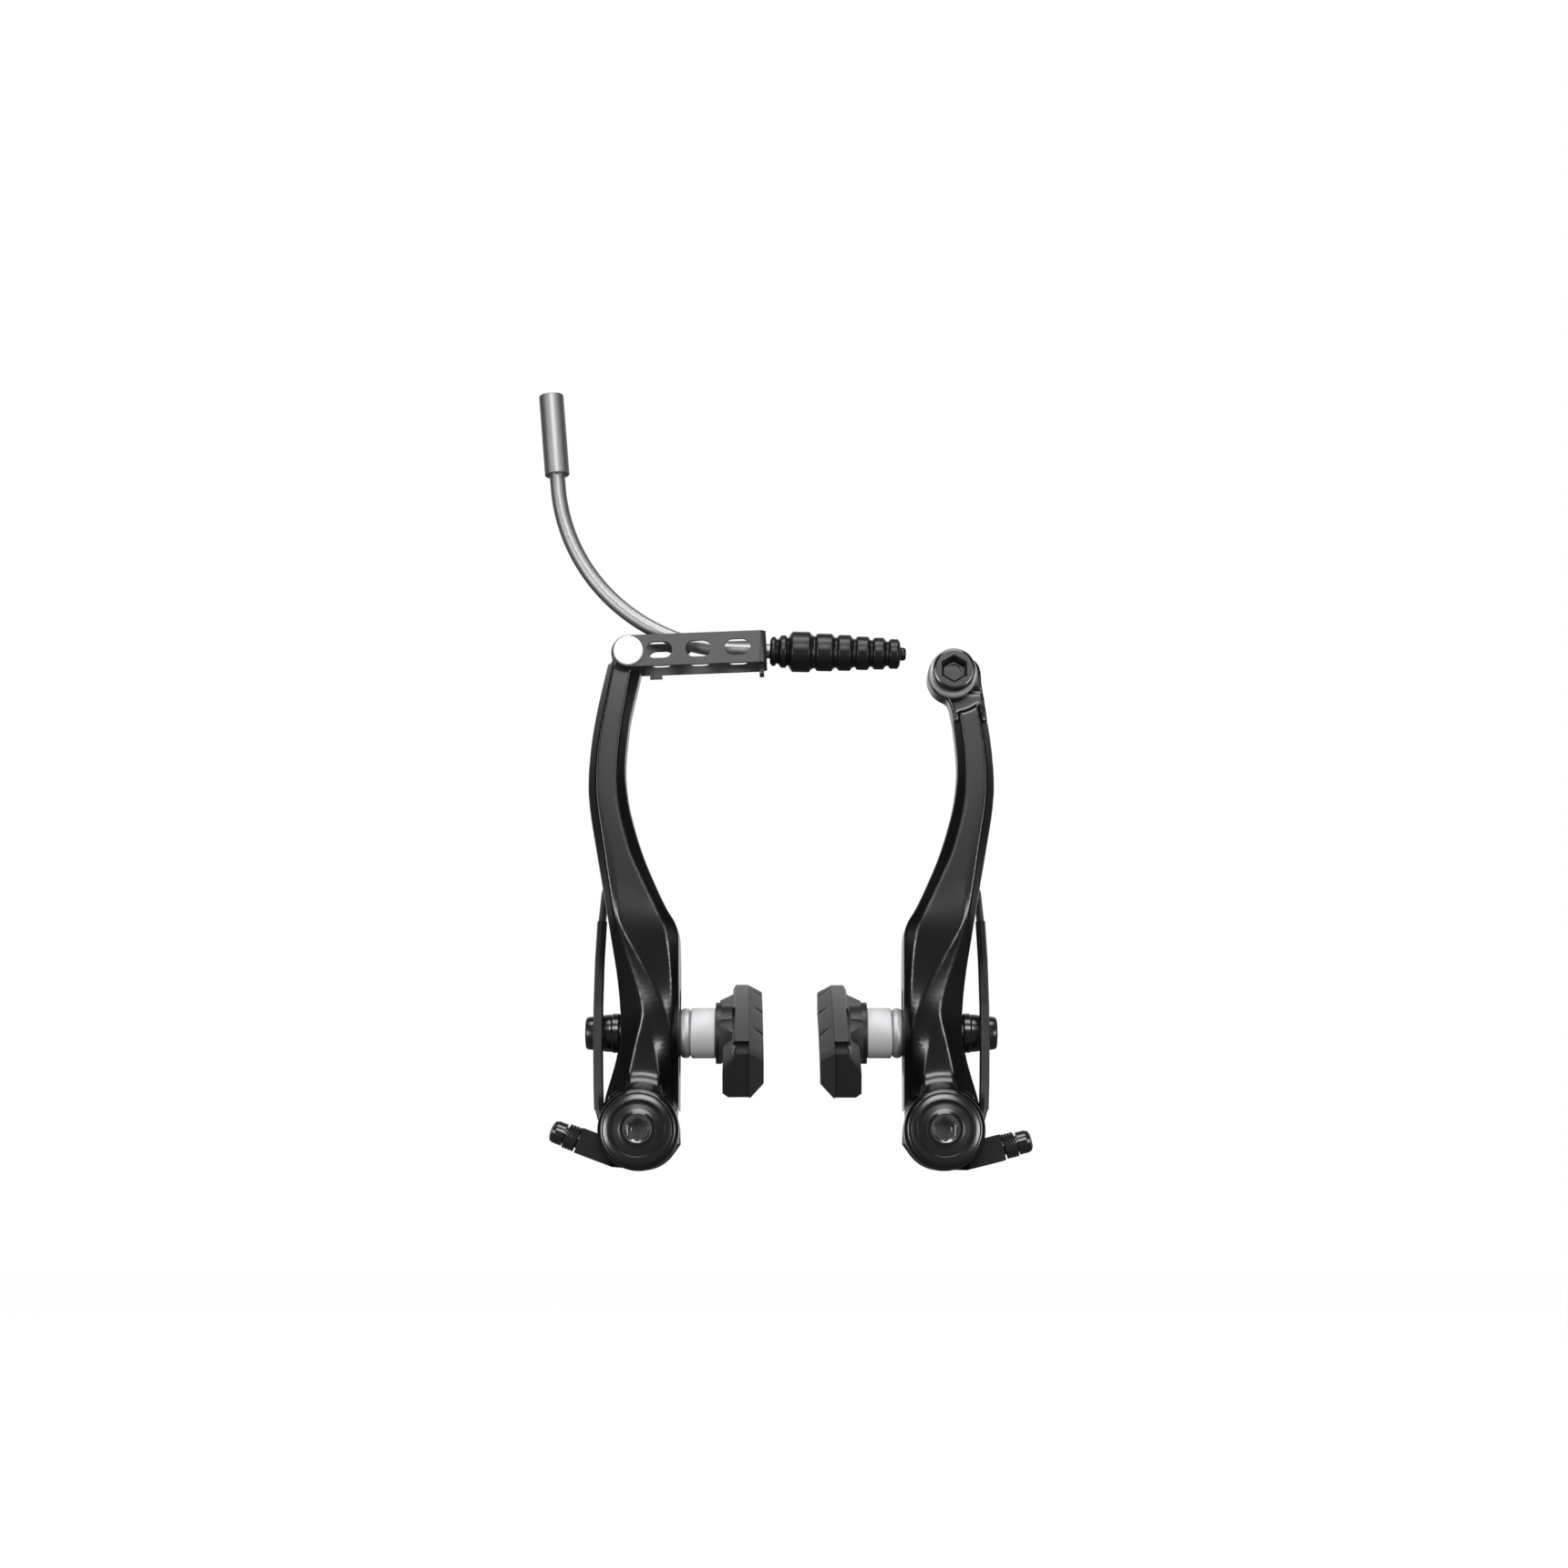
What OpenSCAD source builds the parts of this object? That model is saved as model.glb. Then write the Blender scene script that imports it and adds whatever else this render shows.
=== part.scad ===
// Linear-pull rim brake for one bicycle wheel: two arms with shoes, link, guide pipe and boot.
// The origin is on the left pivot's axis, in the face that seats on the fork boss.
// X points from the left arm to the right arm, Y to the fork, Z up along the arms.

/* [Arms] */
// Distance between the two pivots
boss_spacing = 72; // [68:1:90]
// Height of the cable clamp above its pivot
arm_length = 109.6; // [100:0.1:120]
// Radius of the pivot housing
housing_r = 9.6; // [9.4:0.1:10.2]
// Thickness of the arm's head, front to back
head_depth = 9.1; // [8:0.1:11]
// Radius of the head that carries the link
link_head_r = 4.3; // [4:0.1:5.5]
// Radius of the head that carries the cable clamp
clamp_head_r = 6; // [5.9:0.1:8]

/* [Pivots] */
// Diameter of the fork boss that the bush slides on
boss_d = 8; // [8:0.1:9]
// Length of the bush, from the boss's shoulder to the bolt's flange
bush_length = 24; // [23:0.5:27]
// Wall of the bush
bush_wall = 0.95; // [0.8:0.05:1.2]
// Diameter of the pivot bolt's thread
pivot_bolt_d = 6; // [5:0.5:6]
// Length of the pivot bolt under its flange
pivot_bolt_length = 18; // [14:1:20]
// Radius of the pivot bolt's flange
pivot_flange_r = 8.35; // [7.5:0.05:8.6]

/* [Brake shoes] */
// Height of the shoe post above the pivot
post_height = 23.7; // [19:0.1:28]
// Diameter of the shoe post
post_d = 6; // [5:0.5:6]
// Gap between the faces of the two pads
pad_gap = 13.2; // [8:0.1:20]
// Toe of the left shoe, its rear end set further out
left_toe = 1; // [0:0.1:2]
// Length of a pad
pad_length = 70; // [50:1:90]
// Height of a pad
pad_height = 11; // [9:0.1:14]
// Thickness of the rubber in front of the holder
pad_depth = 3.4; // [2.5:0.1:6]
// Radius of the rim that the pad follows
rim_r = 290; // [200:5:330]
// Nose-down tilt of the shoes
shoe_tilt = 18; // [0:1:22]

/* [Springs] */
// Diameter of the return spring's wire
spring_wire = 1.9; // [1.4:0.1:1.9]
// Turn of the left spring holder
left_holder_turn = 20.5; // [10:0.5:24]
// Turn of the right spring holder
right_holder_turn = 14; // [10:0.5:24]
// Diameter of the adjuster's thread
adjuster_d = 3.8; // [3:0.1:4]

/* [Link and guide pipe] */
// Distance from the link's pin to the outside of its end wall
link_length = 33.5; // [30:0.5:40]
// Height of the link's side plates
link_height = 7.8; // [7:0.1:9]
// Sheet thickness of the link
link_sheet = 1.1; // [0.8:0.1:1.5]
// Rise of the link towards its end wall
link_rise = 2.2; // [0:0.1:4]
// Outer diameter of the guide pipe
pipe_d = 3.8; // [3.4:0.1:4.2]
// Bend radius of the guide pipe's centre line
pipe_bend_r = 45.6; // [40:0.1:55]
// Angle of the guide pipe's bend
pipe_bend = 83.6; // [70:0.1:100]
// Diameter of the pipe's housing ferrule
ferrule_d = 6.1; // [5.8:0.1:7]
// Length of the housing ferrule
ferrule_length = 20.6; // [15:0.1:25]
// Diameter of the outer cable that the ferrule takes
housing_d = 5; // [4:0.1:5]
// Droop of the boot and the pipe's end
boot_droop = 1.3; // [0:0.1:3]
// Length of the rubber boot
boot_length = 33.2; // [28:0.1:34]

/* [Hidden] */
$fn = 48;
eps = 0.01;

// Clearances
run_gap = 0.05;
side_gap = 0.1;
loose_gap = 0.3;

// Depths: the front of the brake looks to -Y
bush_front = -bush_length;
bush_bore_r = boss_d / 2 + run_gap;
bush_r = bush_bore_r + bush_wall;
housing_front = bush_front + side_gap;
housing_back = bush_front + 6.8;
hub_r = 7;
hub_back = -9.6;
arm_front = -22;
arm_back = arm_front + head_depth + 0.8;
head_front = -22.2;
head_back = head_front + head_depth;

// Spring holder, adjuster and return spring, round the pivot
holder_r = housing_r - 0.6;
holder_front = hub_back + loose_gap;
holder_back = -0.4;
sweep_r = housing_r + loose_gap;
lug_half = 3.1;
lug_low = -(holder_r + 1.3);
blade_relief_r = -lug_low;
lug_reach = 12.6;
lug_front = -18.4;
lug_inner = -4;
adjuster_y = -15.1;
adjuster_z = lug_low + lug_half;
adjuster_head_r = 2.7;
adjuster_head_h = 3.3;
adjuster_coil_l = 3.8;
adjuster_wire_r = 0.4;
adjuster_coil_r = adjuster_d / 2 + run_gap + adjuster_wire_r + 0.35;
adjuster_tip = -7;
anchor_r = 1.3;
anchor_root_r = 1;
anchor_place = 7.6;
anchor_angle = 115;
anchor_reach = 5;
coil_r = hub_r + 0.35 + spring_wire / 2;
coil_turns = 2.5;
coil_front = housing_back + 0.85 + spring_wire / 2;
coil_pitch = spring_wire + 0.12;

// Shoe post and its slot in the arm
post_y = -8;
slot_r = post_d / 2 + side_gap;
slot_low = post_height - 7.2;
slot_high = post_height + 7.3;
arm_inner_x = 9.1;
nut_seat_x = -5.25;
convex_t = 2.7;
toe_y = -17;
shoe_back_x = boss_spacing / 2 - pad_gap / 2 - pad_depth - 8.2;
spacer_t = shoe_back_x - arm_inner_x - convex_t;
holder_face_x = boss_spacing / 2 - pad_gap / 2 - pad_depth;
washer_r = 6.05;
nut_washer_t = 2.1;
nut_length = 6.3;

// Heads, link and pipe
stretch = (arm_length - 48) / (109.6 - 48);
function lift(z) = z < 48 ? z : 48 + (z - 48) * stretch;
clamp_x = -3.25;
clamp_face = head_front + 1;
clamp_washer_r = 5.85;
clamp_washer_t = 2.2;
spot_r = 9.65;
cable_groove_r = 0.5;
groove_z = arm_length - 4.1;
pin_x = -3.5;
pin_z = lift(115.1);
pin_r = 2.4;
rivet_r = 3.6;
plate_front = head_front - side_gap - link_sheet;
plate_back = head_back + side_gap + link_sheet;
channel_y = (plate_front + plate_back) / 2;
pipe_r = pipe_d / 2;
pipe_bore_r = 1.3;
cable_r = 0.9;
tip_r = 1.8;

// Smooth curve through a short list of [place, value] pairs
function slope(list, i) =
    let (a = max(i - 1, 0), b = min(i + 1, len(list) - 1))
    (list[b][1] - list[a][1]) / (list[b][0] - list[a][0]);
function span_at(list, z, i = 0) =
    (i >= len(list) - 2 || z < list[i + 1][0]) ? i : span_at(list, z, i + 1);
function curve(list, z) =
    let (
        i = span_at(list, z),
        h = list[i + 1][0] - list[i][0],
        t = min(max((z - list[i][0]) / h, 0), 1),
        m0 = slope(list, i) * h,
        m1 = slope(list, i + 1) * h
    )
    (2 * t ^ 3 - 3 * t ^ 2 + 1) * list[i][1] + (t ^ 3 - 2 * t ^ 2 + t) * m0
    + (3 * t ^ 2 - 2 * t ^ 3) * list[i + 1][1] + (t ^ 3 - t ^ 2) * m1;

// The blade's lines: sideways place against height, in the left arm's frame
outer_x = [
    [2, -9.4], [7.5, -8.5], [12.8, -7], [17, -5.9], [22, -5.1], [28, -5], [36.6, -5.8],
    [45.4, -7.2], [56.4, -9.1], [67.5, -11.1], [76.4, -12.6], [83, -13.1], [92, -12.6],
    [101, -11.3], [110, -9.4], [116, -8]
];
inner_x = [
    [2, 9.1], [30, 9.1], [44, 9.1], [47.2, 8.9], [49.6, 8], [52, 6.5], [56.4, 4.3], [65.2, 0.5],
    [74, -2.3], [80, -3.6], [87, -4.2], [96.6, -3.5], [102, -2.6],
    [109.3, -1], [116, 0.1]
];
neck_left_x = [
    [2, -4.6], [11, -2.9], [20, -1.1], [26, 0.4], [28, 0.6], [32.5, -0.3], [41, -3.2], [49, -5.8],
    [56, -7.2], [67, -8.9], [80, -10.8], [92, -10.6], [110, -7.6], [116, -6.5]
];
neck_right_x = [
    [2, 6.2], [11, 4.9], [20, 3.1], [26, 1.1], [28, 0.9], [32.5, 0.1], [41, -2.8], [49, -5.4],
    [56, -6.6], [67, -8.2], [80, -10], [92, -9.8], [110, -6.8], [116, -5.7]
];
scallop_x = [
    [2, 7.2], [20, 7.2], [25, 7.1], [29, 5.5], [34.4, 3.1], [40.3, -0.2], [49, -4.9],
    [56, -5.6], [67, -7], [80, -8.8], [92, -8.6], [110, -5.6], [116, -4.5]
];
bevel_x = [
    [2, 7.9], [20, 7.9], [30, 7.8], [38.5, 7.2], [46, 6], [52, 4.1], [60.4, 0.1], [67, -2.8],
    [80, -5.9], [92, -5.8], [110, -3.1], [116, -2]
];
// The same lines: depth against height
neck_y = [
    [2, -18.6], [14, -18.3], [20, -18.4], [27, -19], [33, -19.7], [41, -20.8], [49, -22],
    [60, -22.1], [90, -22], [103, -22], [116, -22]
];
scallop_y = [
    [2, -15.4], [18, -16.2], [25, -18.3], [29, -19.8], [34, -20.9], [40, -21.8], [49, -22.4],
    [60, -22.2], [90, -22], [103, -22], [116, -22]
];
bevel_y = [
    [2, -14.6], [18, -15.3], [25, -17.3], [30, -19], [36, -20.4], [46, -22.2], [56, -22.2],
    [90, -22], [103, -22], [116, -22]
];
inner_side_y = [
    [2, -13.6], [20, -14.5], [28, -16.3], [36, -18.3], [46, -20.2], [60, -19.4], [90, -19],
    [102, -18.6], [116, -18.6]
];
outer_side_y = [
    [2, -15], [20, -14.8], [28, -15.3], [36, -16.5], [48, -18.6], [60, -19], [90, -19],
    [102, -18.6], [116, -18.6]
];
back_y = [
    [2, -1.2], [34, -1.2], [38, -2], [46, -6.6], [52, -9.8], [60, -11.4], [70, -11.9],
    [90, -12.1], [116, -12.3]
];
back_chamfer = 1.2;

// One section of the blade, as a ring of points round it
function blade_ring(z) =
    let (xo = curve(outer_x, z), xi = curve(inner_x, z), yb = curve(back_y, z), h = lift(z))
    [
        [xo + back_chamfer, yb, h],
        [xo, yb - back_chamfer, h],
        [xo, curve(outer_side_y, z), h],
        [curve(neck_left_x, z), curve(neck_y, z), h],
        [curve(neck_right_x, z), curve(neck_y, z), h],
        [curve(scallop_x, z), curve(scallop_y, z), h],
        [curve(bevel_x, z), curve(bevel_y, z), h],
        [xi, curve(inner_side_y, z), h],
        [xi, yb - back_chamfer, h],
        [xi - back_chamfer, yb, h]
    ];

// Solid skin over rings that each turn anticlockwise about the way they follow each other
module skin(rings) {
    n = len(rings[0]);
    last = len(rings) - 1;
    points = [for (ring = rings) each ring];
    sides = [
        for (j = [0:last - 1], i = [0:n - 1])
            let (a = j * n + i, b = j * n + (i + 1) % n)
            each [[a, b + n, b], [a, a + n, b + n]]
    ];
    polyhedron(
        points,
        concat(sides, [[for (i = [0:n - 1]) i]], [[for (i = [n - 1:-1:0]) last * n + i]]),
        convexity = 6
    );
}

// Round wire or tube along points, with its rings square to a steady direction
function unit(v) = v / norm(v);
function heading(path, i) =
    unit(path[min(i + 1, len(path) - 1)] - path[max(i - 1, 0)]);
function wire_rings(path, r, ref, n) = [
    for (i = [0:len(path) - 1])
        let (t = heading(path, i), u = unit(cross(t, ref)), v = cross(t, u))
        [for (k = [0:n - 1]) path[i] + r * (cos(360 * k / n) * u + sin(360 * k / n) * v)]
];
module wire(path, r, ref, n = 8) {
    skin(wire_rings(path, r, ref, n));
}

// Round forms along Y and along X
module y_cyl(r, y0, y1, x = 0, z = 0) {
    translate([x, y0, z]) rotate([-90, 0, 0]) cylinder(h = y1 - y0, r = r);
}
module x_cyl(r, x0, x1, y = 0, z = 0) {
    translate([x0, y, z]) rotate([0, 90, 0]) cylinder(h = x1 - x0, r = r);
}
// A profile of [radius, y] or [radius, x] points, turned round its axis
module y_turned(profile) {
    rotate([-90, 0, 0]) rotate_extrude() polygon(profile);
}
module x_turned(profile) {
    rotate([0, 90, 0]) rotate_extrude() polygon(profile);
}
module right_side() {
    translate([boss_spacing, 0, 0]) mirror([1, 0, 0]) children();
}

// Pivots
module pivot_bush() {
    color("dimgray")
    difference() {
        y_cyl(bush_r, bush_front, 0);
        y_cyl(bush_bore_r, bush_front - 1, 1);
    }
}
module pivot_bolt() {
    thread_r = pivot_bolt_d / 2;
    rim = 1.2;
    color([0.09, 0.09, 0.1])
    difference() {
        y_turned([
            [0, bush_front + pivot_bolt_length],
            [thread_r - 0.5, bush_front + pivot_bolt_length],
            [thread_r, bush_front + pivot_bolt_length - 0.6],
            [thread_r, bush_front],
            [pivot_flange_r, bush_front],
            [pivot_flange_r, bush_front - rim + 0.3],
            [pivot_flange_r - 0.3, bush_front - rim],
            [pivot_flange_r - 1.7, bush_front - rim - 0.3],
            [pivot_flange_r - 2, bush_front - rim + 0.1],
            [4.2, bush_front - rim - 0.2],
            [3.6, bush_front - rim - 0.7],
            [0, bush_front - rim - 0.7]
        ]);
        translate([0, bush_front - rim - 1, 0]) hex_socket(5, 4.2, 30);
        y_turned([
            [0, bush_front - rim - 1], [3.4, bush_front - rim - 1],
            [2.7, bush_front - rim - 0.3], [0, bush_front - rim - 0.3]
        ]);
    }
}
// Hexagon socket that opens to -Y, with a drilled round floor
module hex_socket(across_flats, depth, turn) {
    rotate([-90, 0, 0]) {
        rotate([0, 0, turn]) cylinder(h = depth, r = across_flats / 2 / cos(30), $fn = 6);
        cylinder(h = depth + 0.5, r = across_flats / 2 - 0.8);
    }
}

// Lead-in of a hexagon socket, with corners up and down
module hex_mouth(wide, narrow, depth) {
    skin([
        for (step = [[wide, 0], [narrow, depth]])
            [
                for (k = [0:5])
                    [step[0] / 2 / cos(30) * sin(60 * k), step[1], step[0] / 2 / cos(30) * cos(60 * k)]
            ]
    ]);
}

// Spring holder: ring behind the housing, with the adjuster's lug outside the arm's sweep
module in_holder(turn) {
    rotate([0, turn, 0]) children();
}
module spring_holder(turn) {
    color([0.11, 0.11, 0.12])
    in_holder(turn)
    difference() {
        union() {
            y_cyl(holder_r, holder_front, holder_back);
            lug_rear();
            difference() {
                translate([-lug_reach, lug_front, lug_low])
                    cube([lug_reach + lug_inner, holder_front - lug_front + 1, 2 * lug_half]);
                y_cyl(sweep_r, lug_front - 1, holder_front);
            }
        }
        y_cyl(bush_r + run_gap, holder_front - 1, 1);
        x_cyl(adjuster_d / 2 + run_gap, -lug_reach - 1, 0, adjuster_y, adjuster_z);
        at_anchor() y_cyl(anchor_root_r, -7, 1);
    }
}
// The lug beside the ring, its underside running tangent to it
module lug_rear() {
    inside = holder_r - 0.2;
    meet = atan2(lug_low, lug_inner) + acos(inside / norm([lug_inner, lug_low]));
    rotate([90, 0, 0]) translate([0, 0, 3.2]) linear_extrude(height = -3.2 - holder_front)
        polygon([
            [0, lug_low + 2 * lug_half], [-lug_reach, lug_low + 2 * lug_half], [-lug_reach, lug_low],
            [lug_inner, lug_low], [inside * cos(meet), inside * sin(meet)]
        ]);
}
module at_anchor() {
    translate([anchor_place * cos(anchor_angle), 0, anchor_place * sin(anchor_angle)]) children();
}
module anchor_pin(turn) {
    color("silver")
    in_holder(turn) at_anchor()
    y_turned([
        [0, -7], [anchor_root_r, -7], [anchor_root_r, holder_back], [anchor_r, holder_back],
        [anchor_r, anchor_reach - 0.5], [anchor_r - 0.5, anchor_reach], [0, anchor_reach]
    ]);
}
module at_adjuster(turn) {
    in_holder(turn) translate([-lug_reach, adjuster_y, adjuster_z]) children();
}
module adjuster_screw(turn) {
    r = adjuster_d / 2;
    under_head = -adjuster_coil_l;
    tip = lug_reach + adjuster_tip;
    color([0.12, 0.12, 0.13])
    at_adjuster(turn)
    difference() {
        x_turned([
            [0, under_head - adjuster_head_h],
            [adjuster_head_r - 1, under_head - adjuster_head_h],
            [adjuster_head_r - 0.3, under_head - adjuster_head_h + 0.4],
            [adjuster_head_r, under_head - adjuster_head_h + 1.2],
            [adjuster_head_r, under_head],
            [r, under_head],
            [r, tip - 1.1],
            [r - 1, tip],
            [0, tip]
        ]);
        for (a = [0, 90])
            translate([under_head - adjuster_head_h - 0.1, 0, 0]) rotate([a, 0, 0])
                translate([0, -0.35, -1.5]) cube([1.3, 0.7, 3]);
    }
}
module adjuster_spring(turn) {
    turns = 4;
    steps = 14;
    lead = (adjuster_coil_l - 2 * adjuster_wire_r - 0.1) / turns;
    path = [
        for (i = [0:turns * steps])
            let (a = 360 * i / steps)
            [
                -adjuster_wire_r - 0.05 - lead * i / steps,
                adjuster_coil_r * cos(a),
                adjuster_coil_r * sin(a)
            ]
    ];
    color([0.25, 0.25, 0.26])
    at_adjuster(turn) wire(path, adjuster_wire_r, [1, 0, 0], 6);
}

// Return spring: coil round the hub, then a leg up the arm's outer side to the hook pin
leg_points = [
    [-9.75, coil_front - 0.05, 5], [-10, coil_front + 0.2, 11], [-10.25, -14.4, 20],
    [-10.35, -13.7, 30], [-10.25, -12.3, 41], [-9.9, -10.8, lift(50.5)],
    [-9.3, -10, lift(57.5)], [-7.7, -9.8, lift(63.5)], [-6.8, -9.9, lift(68)],
    [-6.4, -9.9, lift(70.5)]
];
module return_spring() {
    steps = 20;
    turns = coil_turns;
    tail_turn = 201;
    coil = [
        for (i = [0:turns * steps])
            let (
                a = 360 * (i / steps - turns),
                off = (a - 360 * round((a - tail_turn) / 360) - tail_turn) / 16,
                r = coil_r + (a < -360 ? 0.8 * exp(-off * off) : 0)
            )
            [-r * cos(a), coil_front + coil_pitch * (turns - i / steps), -r * sin(-a)]
    ];
    color([0.2, 0.2, 0.21])
    wire(concat(coil, leg_points), spring_wire / 2, [0, 1, 0]);
}
module spring_sleeve() {
    path = [for (i = [0:5]) leg_points[i]];
    bore = concat([path[0] - heading(path, 0)], path, [path[5] + heading(path, 5)]);
    color([0.1, 0.1, 0.1])
    difference() {
        wire(path, spring_wire / 2 + 0.25, [0, 1, 0]);
        wire(bore, spring_wire / 2 + 0.06, [0, 1, 0]);
    }
}
hook_x = -9.1;
hook_z = lift(67);
hook_r = 1.15;
hook_root = -13.6;
hook_end = -8;
module hook_pin() {
    color("silver")
    translate([hook_x, 0, hook_z])
    y_turned([
        [0, hook_root], [hook_r, hook_root], [hook_r, hook_end - 0.8],
        [hook_r + 0.6, hook_end - 0.8], [hook_r + 0.6, hook_end - 0.3],
        [hook_r + 0.2, hook_end], [0, hook_end]
    ]);
}

// Arm: blade with its housing, hub and slot; the heads differ between the sides
module blade(top) {
    step = 1.2;
    count = floor((top - 3) / step);
    skin([for (i = [0:count]) blade_ring(3 + (top - 3) * i / count)]);
}
// Concave ramp from the neck up to the housing's front face
module neck_ramp() {
    reach = 4.6;
    low = curve(neck_y, 14);
    intersection() {
        y_turned(concat(
            [[4, low + 2], [4, housing_front], [housing_r - 0.6, housing_front]],
            [
                for (i = [0:8])
                    let (a = 90 * i / 8)
                    [
                        housing_r + reach * (1 - cos(a)),
                        housing_front + 0.6 + (low - housing_front - 0.6) * sin(a)
                    ]
            ],
            [[housing_r + reach, low + 2]]
        ));
        translate([0, housing_front - 1, 0]) rotate([-90, 0, 0]) mirror([0, 1, 0])
            linear_extrude(height = 12)
                polygon([
                    [curve(neck_left_x, 4), 4], [curve(neck_right_x, 4), 4],
                    [curve(neck_right_x, 16), 16], [curve(neck_left_x, 16), 16]
                ]);
    }
}
module arm_body(top) {
    difference() {
        union() {
            difference() {
                blade(top);
                y_cyl(blade_relief_r, housing_back, 2);
            }
            y_turned([
                [0, housing_front], [housing_r - 0.9, housing_front],
                [housing_r, housing_front + 0.9], [housing_r, housing_back], [0, housing_back]
            ]);
            y_cyl(hub_r, housing_back - 1, hub_back);
            neck_ramp();
            children();
        }
        y_cyl(bush_r + run_gap, housing_front - 1, 2);
        for (z = [slot_low, slot_high]) x_cyl(slot_r, -20, 20, post_y, z);
        translate([-20, post_y - slot_r, slot_low]) cube([40, 2 * slot_r, slot_high - slot_low]);
        y_cyl(hook_r, hook_root, 0, hook_x, hook_z);
    }
}
module left_arm() {
    color([0.07, 0.07, 0.075])
    difference() {
        arm_body(113)
            y_cyl(link_head_r, head_front, head_back, pin_x, pin_z);
        y_cyl(pin_r, head_front - 1, head_back + 1, pin_x, pin_z);
        // The link's plates swing past the blade here
        difference() {
            y_cyl(link_height / 2 + 1.4, -30, -2, pin_x, pin_z);
            y_cyl(link_height / 2 + 2, head_front, head_back, pin_x, pin_z);
        }
    }
}
module right_arm() {
    color([0.07, 0.07, 0.075])
    right_side()
    difference() {
        arm_body(107)
            translate([0, head_back, 0]) rotate([90, 0, 0])
                linear_extrude(height = head_back - clamp_face) clamp_head_outline();
        y_cyl(3 + run_gap, clamp_face - 1, head_back + 1, clamp_x, arm_length);
        y_cyl(spot_r, -40, clamp_face, clamp_x, arm_length);
        x_cyl(cable_groove_r, -20, 20, clamp_face, groove_z);
    }
}
// Head round the clamp bolt, with a fillet to the blade's inner edge and a straight outer edge
module clamp_head_outline() {
    translate([clamp_x, arm_length]) circle(r = clamp_head_r);
    translate([clamp_x, arm_length])
        polygon([
            [4.1, -4.3], [3.2, -4.6], [1.85, -5.6], [0.95, -6.7], [0.35, -8.7], [-0.25, -11.4],
            [-8.3, -11.4], [-7.6, -6], [-7, -2], [-6.85, 0.8], [-6.4, 2.4], [-5.3, 3.8], [0, 2]
        ]);
}

// Cable clamp
module clamp_washer() {
    color([0.6, 0.6, 0.61])
    right_side()
    difference() {
        translate([clamp_x, 0, arm_length])
        y_turned([
            [3.15, clamp_face], [clamp_washer_r, clamp_face],
            [clamp_washer_r, clamp_face - clamp_washer_t + 0.4],
            [clamp_washer_r - 0.4, clamp_face - clamp_washer_t],
            [3.15, clamp_face - clamp_washer_t]
        ]);
        x_cyl(cable_groove_r, -20, 20, clamp_face, groove_z);
    }
}
module clamp_bolt() {
    seat = clamp_face - clamp_washer_t;
    head = 4.5;
    head_r = 5.1;
    end = head_back + 1.5;
    color([0.08, 0.08, 0.085])
    right_side()
    translate([clamp_x, 0, arm_length])
    difference() {
        y_turned([
            [0, end], [2.5, end], [3, end - 0.5], [3, seat], [head_r, seat],
            [head_r, seat - head + 0.6], [head_r - 0.2, seat - head + 0.2],
            [head_r - 0.7, seat - head], [0, seat - head]
        ]);
        translate([0, seat - head - eps, 0]) {
            hex_socket(5, 2.6, 30);
            hex_mouth(6.1, 5, 0.6);
        }
    }
}

// Brake shoe: post, washers and nut along X, the shoe follows the rim
module at_post() {
    translate([0, post_y, post_height]) children();
}
module convex_washer() {
    color([0.72, 0.72, 0.73])
    at_post()
    x_turned([
        [post_d / 2 + 0.3, arm_inner_x], [washer_r - 0.9, arm_inner_x],
        [washer_r - 0.2, arm_inner_x + 0.5], [washer_r, arm_inner_x + convex_t / 2],
        [washer_r - 0.2, arm_inner_x + convex_t - 0.5], [washer_r - 0.9, arm_inner_x + convex_t],
        [post_d / 2 + 0.3, arm_inner_x + convex_t]
    ]);
}
module spacer_washer() {
    x0 = arm_inner_x + convex_t;
    color([0.78, 0.78, 0.79])
    at_post()
    x_turned([
        [post_d / 2 + 0.3, x0], [washer_r - 0.3, x0], [washer_r, x0 + 0.3],
        [washer_r, x0 + spacer_t - 0.3], [washer_r - 0.3, x0 + spacer_t],
        [post_d / 2 + 0.3, x0 + spacer_t]
    ]);
}
module nut_washer() {
    color([0.1, 0.1, 0.1])
    at_post()
    x_turned([
        [post_d / 2 + 0.3, nut_seat_x], [4.4, nut_seat_x], [4.75, nut_seat_x - 0.5],
        [4.75, nut_seat_x - nut_washer_t + 0.3], [4.5, nut_seat_x - nut_washer_t],
        [post_d / 2 + 0.3, nut_seat_x - nut_washer_t]
    ]);
}
module post_nut() {
    x0 = nut_seat_x - nut_washer_t;
    x1 = x0 - nut_length;
    color([0.1, 0.1, 0.1])
    at_post()
    difference() {
        x_turned([[0, x0], [4.55, x0], [4.5, x0 - 1], [3.9, x1 + 0.4], [3.5, x1], [0, x1]]);
        x_cyl(post_d / 2 + run_gap, x0 - 3.6, x0 + 1);
        translate([x1 - 1, 0, 0]) rotate([0, 90, 0])
            cylinder(h = nut_length - 2.5, r = 2.5 / cos(30), $fn = 6);
    }
}
module shoe_post() {
    x0 = nut_seat_x - nut_washer_t - 3.5;
    color([0.6, 0.6, 0.6])
    at_post()
    x_turned([
        [0, x0], [post_d / 2 - 0.4, x0], [post_d / 2, x0 + 0.4], [post_d / 2, shoe_back_x + 1.4],
        [4.6, shoe_back_x + 1.4], [4.6, shoe_back_x + 3], [0, shoe_back_x + 3]
    ]);
}
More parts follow.
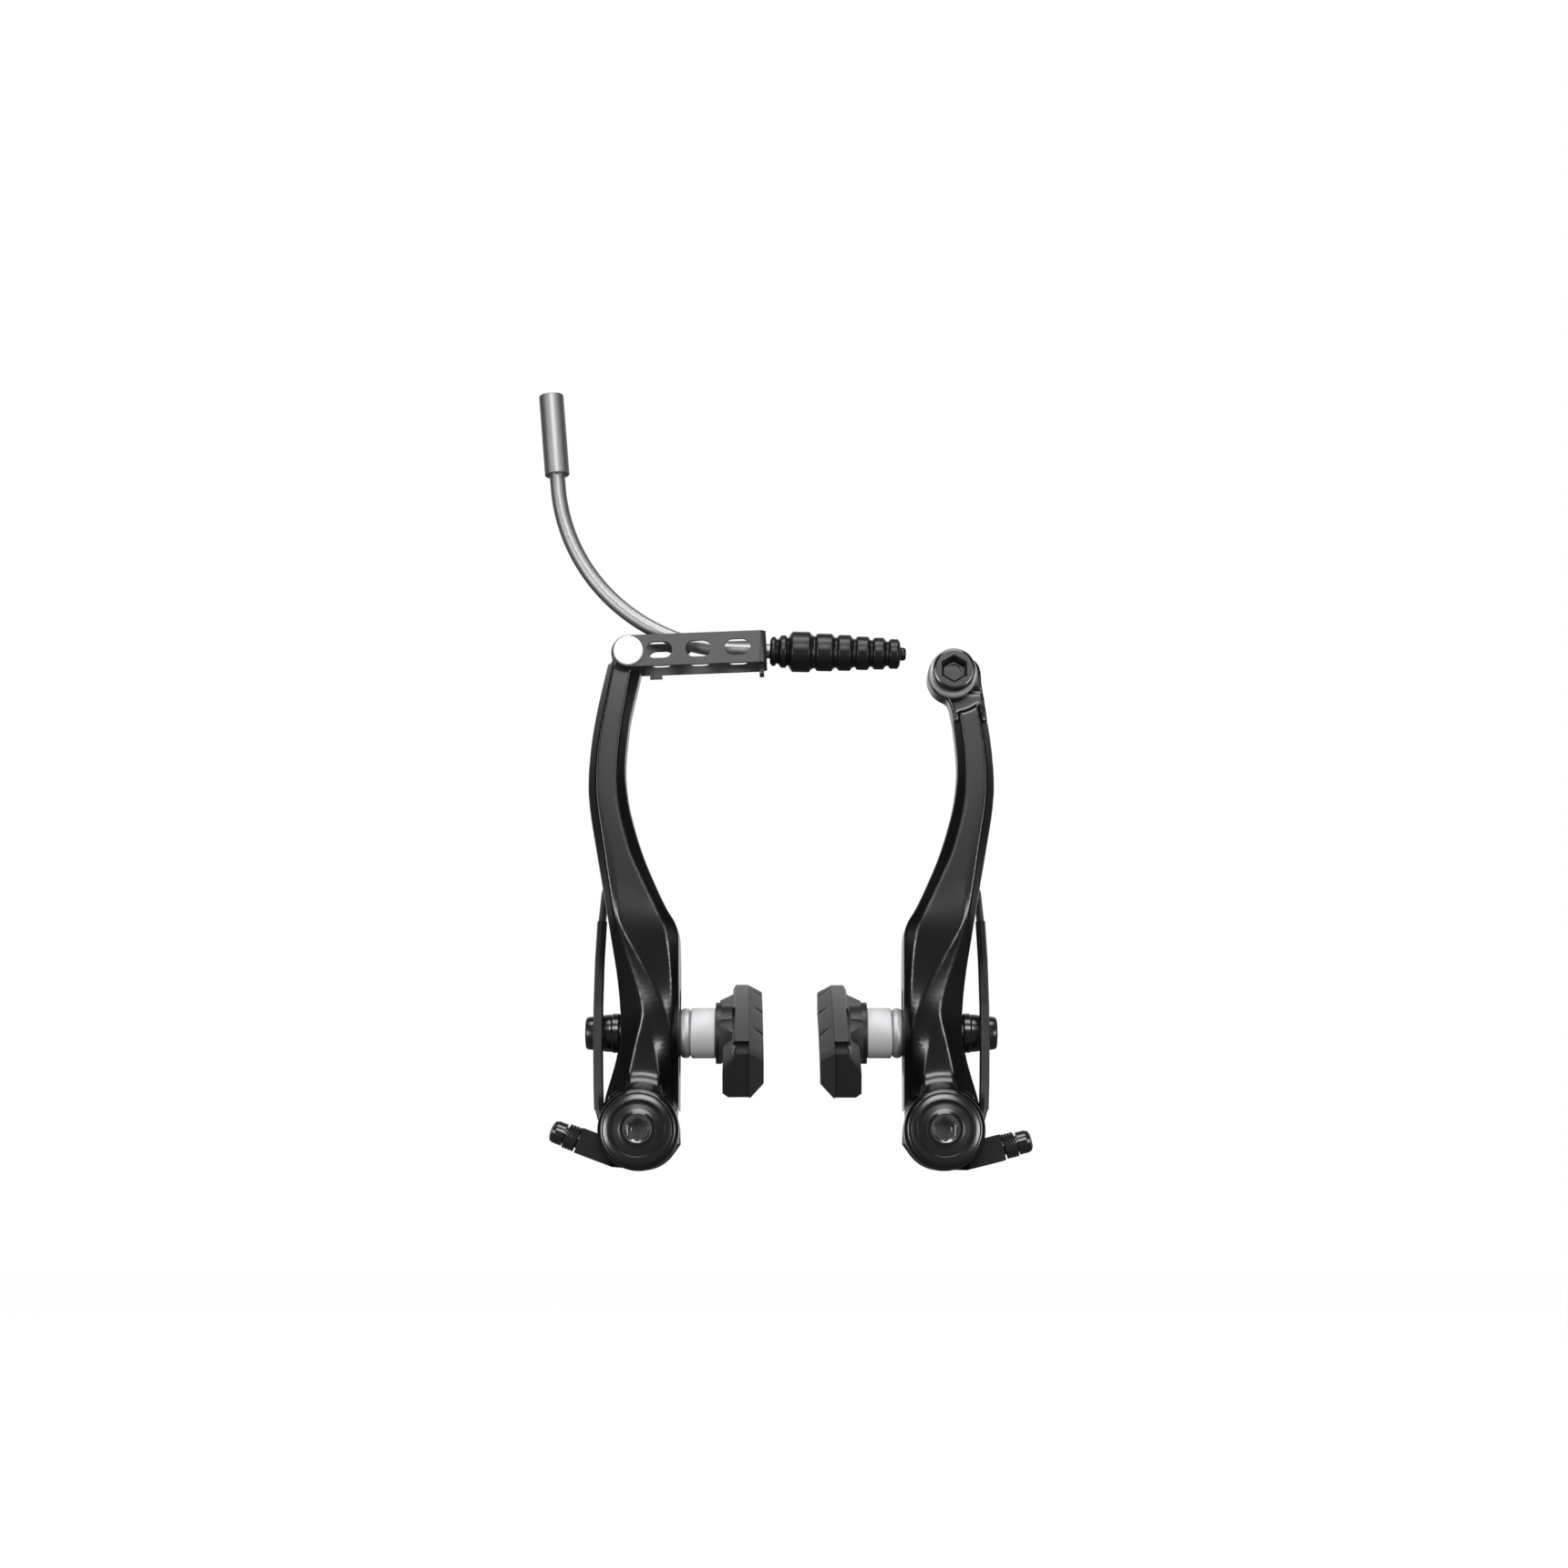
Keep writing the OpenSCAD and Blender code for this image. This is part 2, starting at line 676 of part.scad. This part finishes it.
// A profile of [height, x] points carried along the rim's curve
module along_rim(length, profile) {
    turn = length / rim_r * 180 / PI;
    translate([0, 0, -rim_r]) rotate([90, 0, 90]) rotate([0, 0, 90 - turn / 2])
        rotate_extrude(angle = turn, $fn = 360)
            polygon([for (p = profile) [rim_r + p[0], p[1]]]);
}
module in_shoe(toe) {
    at_post() rotate([shoe_tilt, 0, 0])
        translate([0, toe_y, 0]) rotate([0, 0, toe]) translate([0, -toe_y, 0]) children();
}
// Flared middle of the holder: four slanted faces from the rail up to the seat of the post
module shoe_flare(back) {
    function corners(x, near, far, low, high) =
        [[x, near, high], [x, far, high], [x, far, low], [x, near, low]];
    skin([
        corners(holder_face_x - 1, -27, 27, 0.4 - pad_height / 2, pad_height / 2 - 0.6),
        corners(back, -11, 15, -4, 4.6)
    ]);
}
module shoe_holder(toe) {
    h = pad_height / 2;
    side = holder_face_x - 6.2;
    color([0.16, 0.16, 0.17])
    difference() {
        union() {
            in_shoe(toe) {
                // Rail that carries the pad
                along_rim(pad_length - 1.4, [
                    [-h + 0.4, holder_face_x], [-h + 0.4, side + 1.4], [-h + 1.4, side + 0.1],
                    [0.3, side + 0.1], [h - 0.1, side + 3.4], [h - 0.1, holder_face_x]
                ]);
                // Raised ridge along its top, with a slanted near end
                difference() {
                    along_rim(pad_length - 2, [
                        [0, holder_face_x], [0, side + 2.4], [h - 0.3, side + 2.3],
                        [h + 0.8, side + 3], [h + 0.8, holder_face_x]
                    ]);
                    translate([0, -pad_length / 2 + 7, h - 1.4]) rotate([35, 0, 0])
                        translate([0, -20, 0]) cube([60, 20, 20]);
                }
                shoe_flare(shoe_back_x + 1.1);
            }
            at_post() x_cyl(7.4, shoe_back_x, shoe_back_x + 1.4);
            at_post() x_cyl(6.9, shoe_back_x + 1, shoe_back_x + 4);
        }
        at_post() x_cyl(post_d / 2, shoe_back_x - 1, shoe_back_x + 1.4);
        at_post() x_cyl(4.6, shoe_back_x + 1.4, shoe_back_x + 3);
    }
}
module pad(toe) {
    h = pad_height / 2;
    face = holder_face_x + pad_depth;
    color([0.2, 0.2, 0.21])
    in_shoe(toe)
    difference() {
        along_rim(pad_length, [
            [-h + 0.4, holder_face_x], [h + 0.6, holder_face_x], [h - 1.2, face],
            [-h + 4, face], [-h + 0.4, holder_face_x + 0.3]
        ]);
        // Water grooves, slanted across the top and down the face
        for (y = [-0.24, 0.05, 0.39] * pad_length)
            translate([holder_face_x + 0.6, y, 0]) rotate([-14, 0, -40])
                translate([0, -0.5, h - 3]) cube([8, 1, 8]);
    }
}

// Link: folded channel from the pin to its end wall
module at_pin() {
    translate([pin_x, 0, pin_z]) rotate([0, -link_rise, 0]) children();
}
slot_pitch = 9.5;
slot_first = 7.5;
slot_length = 6.3;
slot_height = 4.1;
module link_side_outline() {
    half = link_height / 2;
    difference() {
        union() {
            circle(r = half);
            translate([0, -half]) square([link_length, link_height]);
        }
        for (i = [0:2]) {
            x = slot_first + slot_pitch * i;
            for (s = [-1, 1])
                translate([x + s * (slot_length - slot_height) / 2, 0]) circle(d = slot_height);
            translate([x - (slot_length - slot_height) / 2, -slot_height / 2])
                square([slot_length - slot_height, slot_height]);
        }
    }
}
// Plan of the fold: two plates and the end wall, with round corners
module link_plan() {
    bend = 1.8;
    depth = plate_back - plate_front;
    inner = depth - 2 * link_sheet;
    difference() {
        union() {
            translate([-10, plate_front]) square([10 + link_length - bend, depth]);
            translate([0, plate_front + bend]) square([link_length, depth - 2 * bend]);
            for (y = [plate_front + bend, plate_back - bend])
                translate([link_length - bend, y]) circle(r = bend);
        }
        translate([-11, plate_front + link_sheet]) square([11 + link_length - bend, inner]);
        translate([0, plate_front + bend])
            square([link_length - link_sheet, depth - 2 * bend]);
    }
}
module link() {
    tab = 2.2;
    stop = 1;
    half = link_height / 2;
    color([0.33, 0.33, 0.34])
    difference() {
        at_pin() {
            difference() {
                intersection() {
                    translate([0, 0, -half - 1]) linear_extrude(height = link_height + 2)
                        link_plan();
                    translate([0, plate_back + 1, 0]) rotate([90, 0, 0])
                        linear_extrude(height = plate_back - plate_front + 2) link_side_outline();
                }
                y_cyl(pin_r + run_gap, plate_front - 1, plate_back + 1);
            }
            // Tab under the end wall, stop under the rear plate
            translate([link_length - link_sheet - 0.8, channel_y - tab, -half - tab])
                cube([link_sheet, 2 * tab, tab + 1]);
            translate([4.6, plate_back - link_sheet + eps, -half - stop])
                cube([3, link_sheet - 2 * eps, stop + 1]);
        }
        // Keyhole for the pipe's tip, open at the top
        at_pipe_end() x_cyl(tip_r + 0.15, -10, 20);
        at_pipe_end() translate([-3, -1.5, 0]) cube([10, 3, 10]);
    }
}
module link_pin() {
    front = plate_front - run_gap;
    back = plate_back + run_gap;
    color([0.86, 0.86, 0.86])
    translate([pin_x, 0, pin_z])
    y_turned([
        [0, front - 0.8], [rivet_r - 0.3, front - 0.8], [rivet_r, front - 0.5], [rivet_r, front],
        [pin_r, front], [pin_r, back], [rivet_r - 0.4, back], [rivet_r - 0.7, back + 0.8],
        [0, back + 0.8]
    ]);
}

// Guide pipe: its end lies in the link's end wall, drooping a little with the boot
wall_x = pin_x + link_length * cos(link_rise);
wall_z = pin_z + link_length * sin(link_rise) - 0.1;
module at_pipe_end() {
    translate([wall_x, channel_y, wall_z]) rotate([0, boot_droop, 0]) children();
}
pipe_straight = 7.3;
pipe_tail = 3.1;
shoulder_l = 1.6;
tip_out = 6;
tip_root = -link_sheet - shoulder_l - 0.3;
ferrule_grip = 4.5;
// The bend's upper end, with X along the pipe towards its mouth
module at_pipe_top() {
    translate([-pipe_straight, 0, pipe_bend_r]) rotate([0, pipe_bend, 0])
        translate([0, 0, -pipe_bend_r]) children();
}
// Round run along the pipe's centre line: tail in the ferrule, then the bend
module pipe_run(r, tail, turn) {
    at_pipe_top() x_cyl(r, -tail, 0);
    translate([-pipe_straight, 0, pipe_bend_r]) rotate([90, 0, 0]) rotate([0, 0, 270 - pipe_bend])
        rotate_extrude(angle = turn, $fn = 180) translate([pipe_bend_r, 0]) circle(r = r);
}
module guide_pipe() {
    color([0.62, 0.62, 0.63])
    at_pipe_end()
    difference() {
        pipe_run(pipe_r, pipe_tail + ferrule_grip, pipe_bend);
        pipe_run(pipe_bore_r, pipe_tail + ferrule_grip + 1, pipe_bend + 1);
    }
}
module pipe_ferrule() {
    r = ferrule_d / 2;
    socket_r = housing_d / 2 + run_gap;
    color([0.66, 0.66, 0.67])
    at_pipe_end() at_pipe_top()
    translate([-pipe_tail, 0, 0])
    x_turned([
        [pipe_r, 0], [r - 0.15, 0], [r, -0.15], [r, -ferrule_length + 0.15],
        [r - 0.1, -ferrule_length], [socket_r, -ferrule_length],
        [socket_r, -ferrule_length + 12.5], [pipe_bore_r + 0.05, -ferrule_length + 13],
        [pipe_bore_r + 0.05, -ferrule_grip], [pipe_r, -ferrule_grip]
    ]);
}
module pipe_tip() {
    inside = -link_sheet - 0.25;
    color([0.75, 0.75, 0.75])
    at_pipe_end()
    x_turned([
        [pipe_bore_r, -pipe_straight], [pipe_r, -pipe_straight], [pipe_r, tip_root],
        [pipe_r + 0.3, tip_root], [pipe_r + 0.8, tip_root + 0.65],
        [pipe_r + 0.8, inside], [tip_r, inside], [tip_r, tip_out - 0.5], [tip_r - 0.3, tip_out],
        [pipe_bore_r, tip_out]
    ]);
}
// Rubber boot: bellows of short cones, slipped over the pipe's tip
// Each row: start, end and radius of one fold, as shares of the boot's length or in millimetres
boot_folds = [
    [0, 0.05, 3.6], [0.065, 0.13, 4], [0.147, 0.305, 4.95], [0.33, 0.47, 4.6],
    [0.49, 0.605, 4.4], [0.625, 0.735, 4.1], [0.75, 0.85, 3.9], [0.868, 0.955, 3.65]
];
module boot() {
    groove = 0.75;
    nub_r = 1.6;
    start = 0.9;
    function at(s) = start + s * boot_length;
    rings = [
        for (f = boot_folds)
            let (c = min(0.5, (f[1] - f[0]) * boot_length / 4))
            each [
                [f[2] - groove, at(f[0]) - 0.02], [f[2], at(f[0]) + c], [f[2], at(f[1]) - c],
                [f[2] - groove, at(f[1])]
            ]
    ];
    color([0.1, 0.1, 0.1])
    at_pipe_end()
    x_turned(concat(
        [[tip_r + 0.03, at(0) - 0.02]],
        rings,
        [
            [nub_r, at(0.96)], [nub_r, at(1) - 0.4], [nub_r - 0.4, at(1)], [cable_r, at(1)],
            [cable_r, tip_out + 2.2], [tip_r + 0.03, tip_out + 0.8]
        ]
    ));
}

pivot_bush();  // left_bush
right_side() pivot_bush();  // right_bush
pivot_bolt();  // left_pivot_bolt
right_side() pivot_bolt();  // right_pivot_bolt
spring_holder(left_holder_turn);  // left_spring_holder
right_side() spring_holder(right_holder_turn);  // right_spring_holder
anchor_pin(left_holder_turn);  // left_anchor_pin
right_side() anchor_pin(right_holder_turn);  // right_anchor_pin
return_spring();  // left_return_spring
right_side() return_spring();  // right_return_spring
spring_sleeve();  // left_spring_sleeve
right_side() spring_sleeve();  // right_spring_sleeve
adjuster_spring(left_holder_turn);  // left_adjuster_spring
right_side() adjuster_spring(right_holder_turn);  // right_adjuster_spring
adjuster_screw(left_holder_turn);  // left_adjuster_screw
right_side() adjuster_screw(right_holder_turn);  // right_adjuster_screw
left_arm();
right_arm();
hook_pin();  // left_hook_pin
right_side() hook_pin();  // right_hook_pin
shoe_post();  // left_shoe_post
right_side() shoe_post();  // right_shoe_post
shoe_holder(left_toe);  // left_shoe_holder
right_side() shoe_holder(0);  // right_shoe_holder
pad(left_toe);  // left_pad
right_side() pad(0);  // right_pad
spacer_washer();  // left_spacer_washer
right_side() spacer_washer();  // right_spacer_washer
convex_washer();  // left_convex_washer
right_side() convex_washer();  // right_convex_washer
nut_washer();  // left_nut_washer
right_side() nut_washer();  // right_nut_washer
post_nut();  // left_post_nut
right_side() post_nut();  // right_post_nut
clamp_bolt();
clamp_washer();
link_pin();
link();
guide_pipe();
pipe_ferrule();
pipe_tip();
boot();
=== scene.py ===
"""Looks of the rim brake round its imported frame: finishes, soft edges, webs, light and camera."""

import math

import bpy
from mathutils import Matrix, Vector


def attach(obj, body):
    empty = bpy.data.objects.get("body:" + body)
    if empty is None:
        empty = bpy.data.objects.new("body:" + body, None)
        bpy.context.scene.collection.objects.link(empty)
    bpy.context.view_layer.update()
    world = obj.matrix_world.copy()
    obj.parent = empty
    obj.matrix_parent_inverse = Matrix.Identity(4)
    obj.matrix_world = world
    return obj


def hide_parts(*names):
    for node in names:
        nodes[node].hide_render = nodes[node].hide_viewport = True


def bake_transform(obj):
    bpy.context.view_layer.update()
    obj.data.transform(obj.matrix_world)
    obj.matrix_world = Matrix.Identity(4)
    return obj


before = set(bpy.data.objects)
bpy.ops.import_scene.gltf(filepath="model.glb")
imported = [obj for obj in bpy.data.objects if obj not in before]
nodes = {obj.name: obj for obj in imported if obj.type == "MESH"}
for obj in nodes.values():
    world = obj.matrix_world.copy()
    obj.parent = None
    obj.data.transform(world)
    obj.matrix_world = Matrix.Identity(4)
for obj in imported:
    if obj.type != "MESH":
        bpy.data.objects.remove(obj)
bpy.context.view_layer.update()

# Distance between the two pivots, in metres, with the left one at the origin
PIVOTS = 0.072
MIDDLE = PIVOTS / 2
# Each side's name, its pivot's place along X, and the way along X that its inner side looks
SIDES = (("left", 0, 1), ("right", PIVOTS, -1))


def both(*parts):
    """Names of the nodes that each side has."""
    return [f"{side}_{part}" for part in parts for side, _, _ in SIDES]


# Materials
BLACK_STEEL = (0.006, 0.006, 0.0065)
BARE_STEEL = (0.3, 0.3, 0.305)
# Distance from a pivot's axis, in metres, within which its bolt is bare
SOCKET_REACH = 0.0034
GRAIN_DETAIL = 3


def material(name, color, rough, metal=0.0, spec=0.5, grain=None):
    """Principled finish; grain is the scale of its noise and the depth of its bump in metres."""
    finish = bpy.data.materials.new(name)
    finish.use_nodes = True
    shader = finish.node_tree.nodes["Principled BSDF"]
    shader.inputs["Base Color"].default_value = (*color, 1)
    shader.inputs["Roughness"].default_value = rough
    shader.inputs["Metallic"].default_value = metal
    shader.inputs["Specular IOR Level"].default_value = spec
    if grain:
        add_grain(finish.node_tree, shader, *grain)
    return finish


def add_grain(tree, shader, scale, depth):
    """Fine bump from noise in the object's own space."""
    place = tree.nodes.new("ShaderNodeTexCoord")
    noise = tree.nodes.new("ShaderNodeTexNoise")
    noise.inputs["Scale"].default_value = scale
    noise.inputs["Detail"].default_value = GRAIN_DETAIL
    bump = tree.nodes.new("ShaderNodeBump")
    bump.inputs["Strength"].default_value = 1.0
    bump.inputs["Distance"].default_value = depth
    tree.links.new(place.outputs["Object"], noise.inputs["Vector"])
    tree.links.new(noise.outputs["Fac"], bump.inputs["Height"])
    tree.links.new(bump.outputs["Normal"], shader.inputs["Normal"])


def bare_socket(name, pivot):
    """Black steel that is bare metal in the socket, which lies round the pivot's axis."""
    finish = material(name, BLACK_STEEL, rough=0.22)
    tree = finish.node_tree
    shader = tree.nodes["Principled BSDF"]
    place = tree.nodes.new("ShaderNodeTexCoord")
    offset = tree.nodes.new("ShaderNodeVectorMath")
    offset.operation = "SUBTRACT"
    offset.inputs[1].default_value = (pivot, 0, 0)
    flat = tree.nodes.new("ShaderNodeVectorMath")
    flat.operation = "MULTIPLY"
    flat.inputs[1].default_value = (1, 0, 1)
    distance = tree.nodes.new("ShaderNodeVectorMath")
    distance.operation = "LENGTH"
    inside = tree.nodes.new("ShaderNodeMath")
    inside.operation = "LESS_THAN"
    inside.inputs[1].default_value = SOCKET_REACH
    tone = tree.nodes.new("ShaderNodeMix")
    tone.data_type = "RGBA"
    tone.inputs["A"].default_value = (*BLACK_STEEL, 1)
    tone.inputs["B"].default_value = (*BARE_STEEL, 1)
    tree.links.new(place.outputs["Object"], offset.inputs[0])
    tree.links.new(offset.outputs["Vector"], flat.inputs[0])
    tree.links.new(flat.outputs["Vector"], distance.inputs[0])
    tree.links.new(distance.outputs["Value"], inside.inputs[0])
    tree.links.new(inside.outputs["Value"], tone.inputs["Factor"])
    tree.links.new(tone.outputs["Result"], shader.inputs["Base Color"])
    tree.links.new(inside.outputs["Value"], shader.inputs["Metallic"])
    return finish


paint = material("gloss_black_paint", (0.002, 0.002, 0.0022), rough=0.26, grain=(900, 0.000006))
black_steel = material("black_steel", BLACK_STEEL, rough=0.22)
plain_steel = material("plain_steel", (0.5, 0.5, 0.5), rough=0.35, metal=1.0)
spring_steel = material("dark_spring_steel", (0.02, 0.02, 0.021), rough=0.3, metal=0.5)
plastic = material("black_plastic", (0.004, 0.004, 0.0045), rough=0.38, spec=0.22, grain=(1500, 0.00002))
spacer = material("pale_spacer", (0.42, 0.42, 0.43), rough=0.6, grain=(2500, 0.00003))
washer = material("grey_washer", (0.42, 0.42, 0.43), rough=0.5, metal=0.6, grain=(2500, 0.00003))
holder = material("holder_grey", BLACK_STEEL, rough=0.4, spec=0.32, grain=(1600, 0.00003))
rubber = material("pad_rubber", (0.009, 0.009, 0.0095), rough=0.5, spec=0.35, grain=(1200, 0.00004))
link_steel = material("link_steel", (0.05, 0.05, 0.052), rough=0.45, metal=0.8)
bright = material("bright_steel", (0.8, 0.8, 0.8), rough=0.6, metal=0.6)
pipe = material("pipe_silver", (0.26, 0.26, 0.265), rough=0.48, metal=1.0)
boot_rubber = material("boot_rubber", (0.003, 0.003, 0.0035), rough=0.36, spec=0.3)
left_socket = bare_socket("left_bolt_steel", 0)
right_socket = bare_socket("right_bolt_steel", PIVOTS)

FINISH = {
    paint: both("arm"),
    left_socket: ["left_pivot_bolt"],
    right_socket: ["right_pivot_bolt"],
    black_steel: ["clamp_bolt", *both("post_nut", "nut_washer", "adjuster_screw")],
    plain_steel: both("bush", "anchor_pin", "hook_pin", "shoe_post"),
    spring_steel: both("adjuster_spring", "return_spring"),
    plastic: both("spring_holder", "spring_sleeve"),
    spacer: both("spacer_washer"),
    washer: ["clamp_washer", *both("convex_washer")],
    holder: both("shoe_holder"),
    rubber: both("pad"),
    link_steel: ["link"],
    bright: ["link_pin"],
    pipe: ["guide_pipe", "pipe_ferrule", "pipe_tip"],
    boot_rubber: ["boot"],
}
for finish, names in FINISH.items():
    for name in names:
        nodes[name].data.materials.clear()
        nodes[name].data.materials.append(finish)


# Soft edges, by modifiers only, with sizes in metres
ARM_VOXEL = 0.00036
SMOOTHING_PASSES = 5
SMOOTHING_FACTOR = 0.5
WELD_REACH = 1e-6
METAL_EDGE = 0.00012
BOOT_EDGE = 0.0003
SHOE_EDGE = 0.0004
SHARP = math.radians(30)


def soften(name):
    remesh = nodes[name].modifiers.new("remesh", "REMESH")
    remesh.mode = "VOXEL"
    remesh.voxel_size = ARM_VOXEL
    remesh.use_smooth_shade = True
    smooth = nodes[name].modifiers.new("smooth", "SMOOTH")
    smooth.factor = SMOOTHING_FACTOR
    smooth.iterations = SMOOTHING_PASSES


def round_edges(name, width, segments=2):
    weld = nodes[name].modifiers.new("weld", "WELD")
    weld.merge_threshold = WELD_REACH
    bevel = nodes[name].modifiers.new("bevel", "BEVEL")
    bevel.width = width
    bevel.segments = segments
    bevel.limit_method = "ANGLE"
    bevel.angle_limit = SHARP


for name in both("arm"):
    soften(name)
for name in [*both("pivot_bolt", "post_nut"), "clamp_bolt", "link", "link_pin"]:
    round_edges(name, METAL_EDGE)
round_edges("boot", BOOT_EDGE, segments=3)
for name in both("shoe_holder", "pad"):
    round_edges(name, SHOE_EDGE)


# Each return spring and spring sleeve is copied to a free object of its own, with its place baked in,
# and the imported node is hidden
for side, _, _ in SIDES:
    for part, slot in (("return_spring", "dark_spring_steel"), ("spring_sleeve", "black_plastic")):
        source = nodes[f"{side}_{part}"]
        flex = bpy.data.objects.new(f"{side}_{part}_flex", source.data.copy())
        bpy.context.scene.collection.objects.link(flex)
        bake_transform(flex)
        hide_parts(f"{side}_{part}")


# Web between housing and blade on each arm's inner side, in millimetres round the pivot:
# the angle above the horizontal, and the reach and the depth of the web's outer edge there
MM = 0.001
WEB = (
    (8, 9.25, -14),
    (16, 9.35, -13.8),
    (24, 9.85, -13.8),
    (32, 10.6, -13.9),
    (42, 10.7, -14.8),
    (52, 10.7, -16.2),
    (62, 10.7, -17.6),
)
WEB_INNER_R = 9.3
WEB_FRONT = -17.3
WEB_THICK = 0.8


def arm_web(side, pivot, inward):
    """Closed thin shell, with four corners at each angle of the web."""
    points = []
    for angle, reach, depth in WEB:
        across, up = math.cos(math.radians(angle)), math.sin(math.radians(angle))
        corners = (
            (WEB_INNER_R, WEB_FRONT),
            (reach, depth),
            (reach, depth + WEB_THICK),
            (WEB_INNER_R, WEB_FRONT + WEB_THICK),
        )
        for radius, y in corners:
            points.append((pivot + inward * radius * across * MM, y * MM, radius * up * MM))
    last = len(points) - 4
    faces = [(0, 1, 2, 3), (last + 3, last + 2, last + 1, last)]
    for first in range(0, last, 4):
        for corner in range(4):
            after = (corner + 1) % 4
            faces.append((first + corner, first + 4 + corner, first + 4 + after, first + after))
    if inward < 0:
        faces = [tuple(reversed(face)) for face in faces]
    mesh = bpy.data.meshes.new(f"{side}_arm_web")
    mesh.from_pydata(points, [], faces)
    mesh.materials.append(paint)
    web = bpy.data.objects.new(f"{side}_arm_web", mesh)
    bpy.context.scene.collection.objects.link(web)
    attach(web, f"{side}_arm_group")


for side, pivot, inward in SIDES:
    arm_web(side, pivot, inward)


# Floor and background: white to the camera, with the floor's own grey for the shadow
FLOOR_SIZE = 8
FLOOR_HEIGHT = -0.09
FLOOR_TONE = (0.15, 0.15, 0.15, 1)
FLOOR_GLOW = 0.96
# The background seen by other rays grows from dim to bright with the ray's turn towards +Y
TURN_START, TURN_END = 0.2, 0.95
DIM, BRIGHT = 0.02, 0.9


def floor_white():
    finish = bpy.data.materials.new("floor_white")
    finish.use_nodes = True
    tree = finish.node_tree
    tree.nodes.clear()
    out = tree.nodes.new("ShaderNodeOutputMaterial")
    add = tree.nodes.new("ShaderNodeAddShader")
    diffuse = tree.nodes.new("ShaderNodeBsdfDiffuse")
    diffuse.inputs["Color"].default_value = FLOOR_TONE
    glow = tree.nodes.new("ShaderNodeEmission")
    path = tree.nodes.new("ShaderNodeLightPath")
    gain = tree.nodes.new("ShaderNodeMath")
    gain.operation = "MULTIPLY"
    gain.inputs[1].default_value = FLOOR_GLOW
    tree.links.new(path.outputs["Is Camera Ray"], gain.inputs[0])
    tree.links.new(gain.outputs["Value"], glow.inputs["Strength"])
    tree.links.new(diffuse.outputs["BSDF"], add.inputs[0])
    tree.links.new(glow.outputs["Emission"], add.inputs[1])
    tree.links.new(add.outputs["Shader"], out.inputs["Surface"])
    return finish


def studio_world():
    world = bpy.data.worlds.new("studio")
    bpy.context.scene.world = world
    world.use_nodes = True
    tree = world.node_tree
    back = tree.nodes["Background"]
    back.inputs["Color"].default_value = (1, 1, 1, 1)
    path = tree.nodes.new("ShaderNodeLightPath")
    place = tree.nodes.new("ShaderNodeTexCoord")
    split = tree.nodes.new("ShaderNodeSeparateXYZ")
    studio = tree.nodes.new("ShaderNodeMapRange")
    studio.interpolation_type = "SMOOTHSTEP"
    studio.inputs["From Min"].default_value = TURN_START
    studio.inputs["From Max"].default_value = TURN_END
    studio.inputs["To Min"].default_value = DIM
    studio.inputs["To Max"].default_value = BRIGHT
    seen = tree.nodes.new("ShaderNodeMath")
    seen.operation = "MAXIMUM"
    tree.links.new(place.outputs["Generated"], split.inputs["Vector"])
    tree.links.new(split.outputs["Y"], studio.inputs["Value"])
    tree.links.new(studio.outputs["Result"], seen.inputs[0])
    tree.links.new(path.outputs["Is Camera Ray"], seen.inputs[1])
    tree.links.new(seen.outputs["Value"], back.inputs["Strength"])


bpy.ops.mesh.primitive_plane_add(size=FLOOR_SIZE, location=(MIDDLE, 0, FLOOR_HEIGHT))
floor = bpy.context.object
floor.name = "floor"
floor.data.materials.append(floor_white())
studio_world()


# Lamps, with place, aim and size in metres, and power in watts
def panel(name, place, aim, size, power):
    light = bpy.data.lights.new(name, "AREA")
    light.shape = "RECTANGLE"
    light.size, light.size_y = size
    light.energy = power
    lamp = bpy.data.objects.new(name, light)
    bpy.context.scene.collection.objects.link(lamp)
    lamp.location = place
    lamp.rotation_euler = (Vector(aim) - Vector(place)).to_track_quat("-Z", "Y").to_euler()
    lamp.visible_camera = False


STRIP_OUT = 0.6
LOW_OUT = 0.275
panel("front_box", (MIDDLE, -1.1, 0.6), aim=(MIDDLE, 0, 0.1), size=(0.5, 0.34), power=8)
panel("top_box", (MIDDLE, -0.35, 0.9), aim=(MIDDLE, 0, 0.06), size=(0.7, 0.4), power=8)
for side, pivot, inward in SIDES:
    place = (pivot - inward * STRIP_OUT, -0.62, 0.12)
    panel(f"{side}_strip", place, aim=(MIDDLE, 0, 0.06), size=(0.11, 0.4), power=1.8)
for side, pivot, inward in SIDES:
    place = (pivot - inward * LOW_OUT, -0.41, 0)
    panel(f"{side}_low", place, aim=(pivot, 0, 0.04), size=(0.1, 0.16), power=0.9)


# Camera at the photograph's angle, in metres and degrees: its focal length is in pixels of
# the photograph's frame, and the sensor's width in millimetres
PHOTO_PIXELS = 1720
FOCAL_PIXELS = 2750
SENSOR = 36
CAMERA_PLACE = (MIDDLE, -0.616, -0.0244)
LOOK_UP = 10.2
LOOK_ASIDE = 0.167
NEAREST = 0.01

lens = bpy.data.cameras.new("camera")
lens.sensor_width = SENSOR
lens.lens = FOCAL_PIXELS / PHOTO_PIXELS * SENSOR
lens.clip_start = NEAREST
camera = bpy.data.objects.new("camera", lens)
bpy.context.scene.collection.objects.link(camera)
camera.location = CAMERA_PLACE
camera.rotation_euler = (math.radians(90 + LOOK_UP), 0, math.radians(LOOK_ASIDE))
bpy.context.scene.camera = camera

bpy.context.scene.view_settings.view_transform = "Standard"
